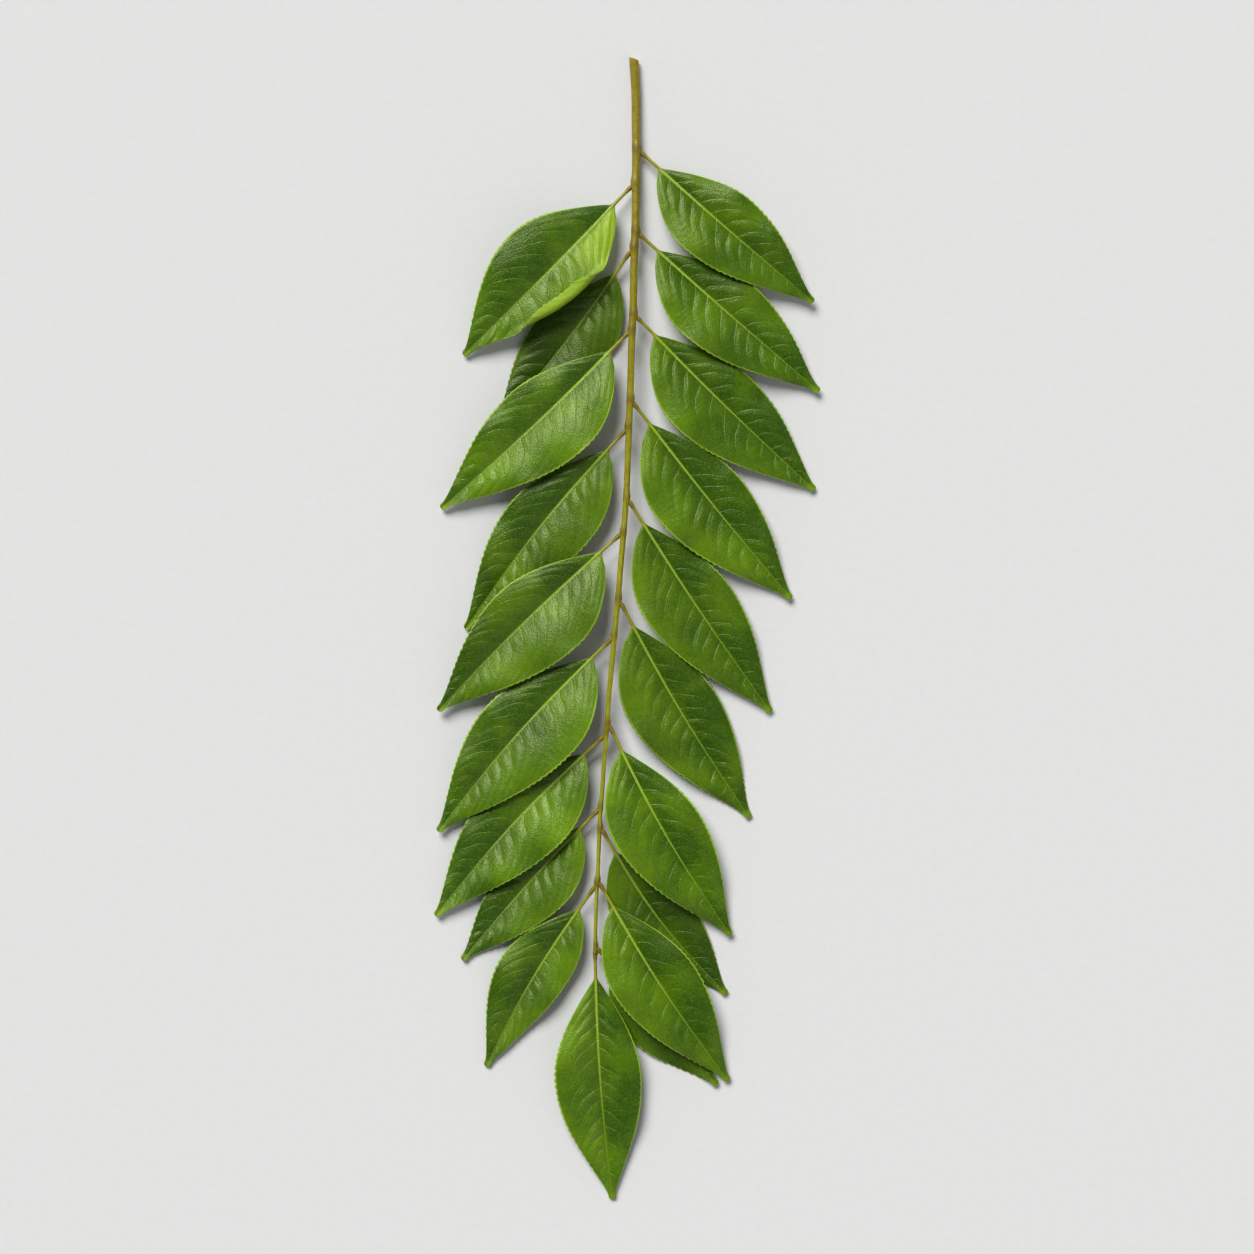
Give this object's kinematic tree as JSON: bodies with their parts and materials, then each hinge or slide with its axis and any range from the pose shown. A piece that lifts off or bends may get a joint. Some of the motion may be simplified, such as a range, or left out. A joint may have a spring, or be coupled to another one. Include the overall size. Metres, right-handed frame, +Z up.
{
  "type": "curry leaf sprig",
  "caption": "Cut curry leaf sprig lying flat: pointed glossy green leaflets along both sides of a thin stalk, with one leaflet at its end.",
  "frame": {"origin": "bottom centre of the sprig's box, on the surface that it lies on", "axes": "+Y along the sprig from its end leaflet to its cut end, +Z up through its thickness, with the leaves' upper faces up"},
  "size_m": [0.063, 0.187, 0.0058],
  "materials": {
    "leaf": "smooth leaf, glossy on top, with a pale yellow-green midrib and margin",
    "stalk": "smooth olive-yellow green stem, browner at its joints and cut end"
  },
  "bodies": {
    "root": {"rachis": "stalk", "leaflet_left_1": "leaf", "leaflet_left_2": "leaf", "leaflet_left_3": "leaf", "leaflet_left_4": "leaf", "leaflet_left_5": "leaf", "leaflet_left_6": "leaf", "leaflet_left_7": "leaf", "leaflet_left_8": "leaf", "leaflet_left_9": "leaf", "leaflet_right_1": "leaf", "leaflet_right_2": "leaf", "leaflet_right_3": "leaf", "leaflet_right_4": "leaf", "leaflet_right_5": "leaf", "leaflet_right_6": "leaf", "leaflet_right_7": "leaf", "leaflet_right_8": "leaf", "leaflet_right_9": "leaf", "leaflet_right_10": "leaf", "leaflet_tip": "leaf"}
  },
  "joints": []
}
